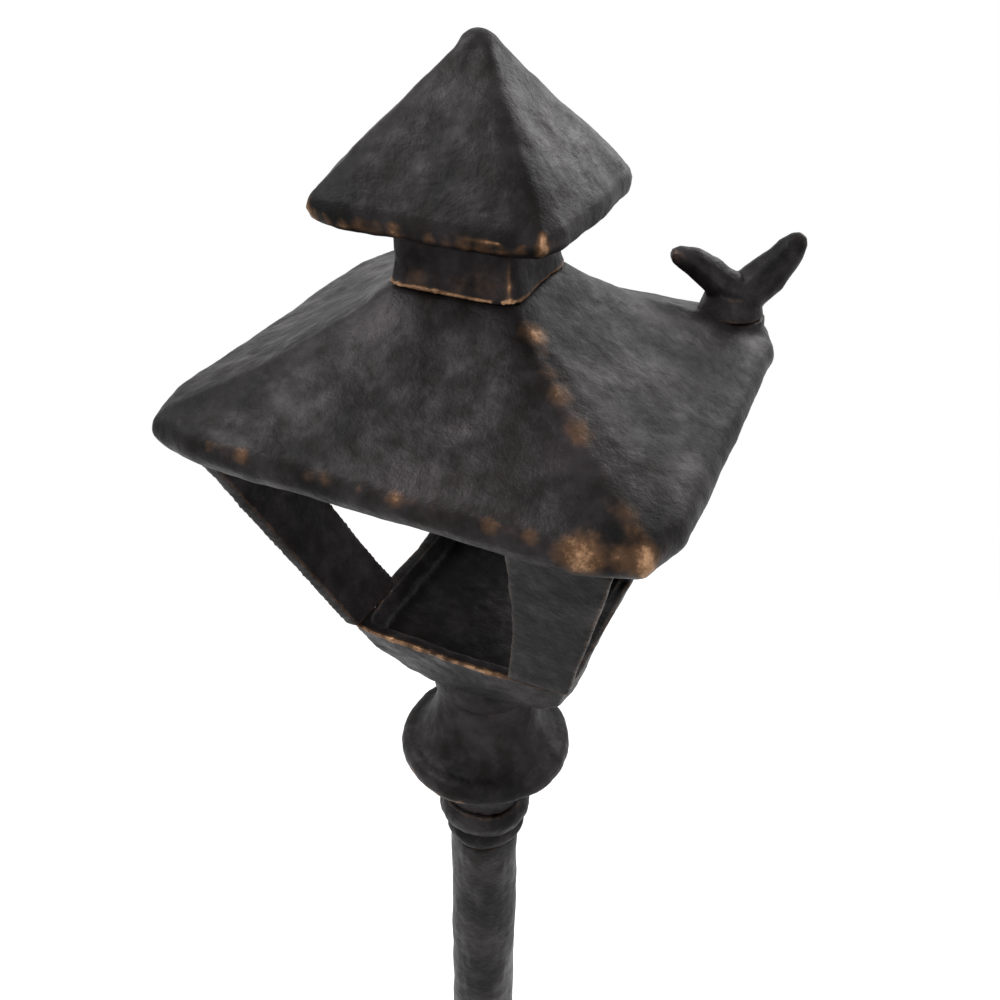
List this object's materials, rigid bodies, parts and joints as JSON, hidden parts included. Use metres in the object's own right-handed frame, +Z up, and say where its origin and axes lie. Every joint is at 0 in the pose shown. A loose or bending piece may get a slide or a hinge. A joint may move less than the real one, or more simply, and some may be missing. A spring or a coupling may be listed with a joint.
{
  "type": "street lantern",
  "caption": "Small cast-metal street lantern: square tapering open lantern with a pyramid roof, chimney and cap on a round pole, and a bird perched on one corner of the roof.",
  "frame": {"origin": "middle of the felt's underside, on which the lantern stands", "axes": "+Z up along the pole; the lantern's sides lie along X and Y, and the bird's corner is +X +Y"},
  "size_m": [0.0782, 0.0783, 0.3189],
  "materials": {
    "patinated_metal": "dark brown-grey patina on hand-modelled cast bronze",
    "worn_metal": "patina worn down to golden-brown bronze",
    "steel": "plain",
    "felt": "matt felt"
  },
  "bodies": {
    "root": {"felt_pad": "felt", "plinth": "patinated_metal", "base_bolt": "steel", "base_washer": "steel", "pedestal": "patinated_metal", "foot_ring": "patinated_metal", "pole": "patinated_metal", "lower_ring": "patinated_metal", "upper_ring": "patinated_metal", "collar": "patinated_metal", "disc": "patinated_metal", "lantern_tray": "patinated_metal", "cross_pin": "steel", "front_post": "patinated_metal", "right_post": "patinated_metal", "back_post": "patinated_metal", "left_post": "patinated_metal", "post_pegs": "steel", "roof": "patinated_metal", "roof_washer": "steel", "roof_nut": "steel", "cap_stud": "steel", "neck": "worn_metal", "cap": "patinated_metal", "bird": "patinated_metal", "bird_peg": "steel"}
  },
  "joints": []
}
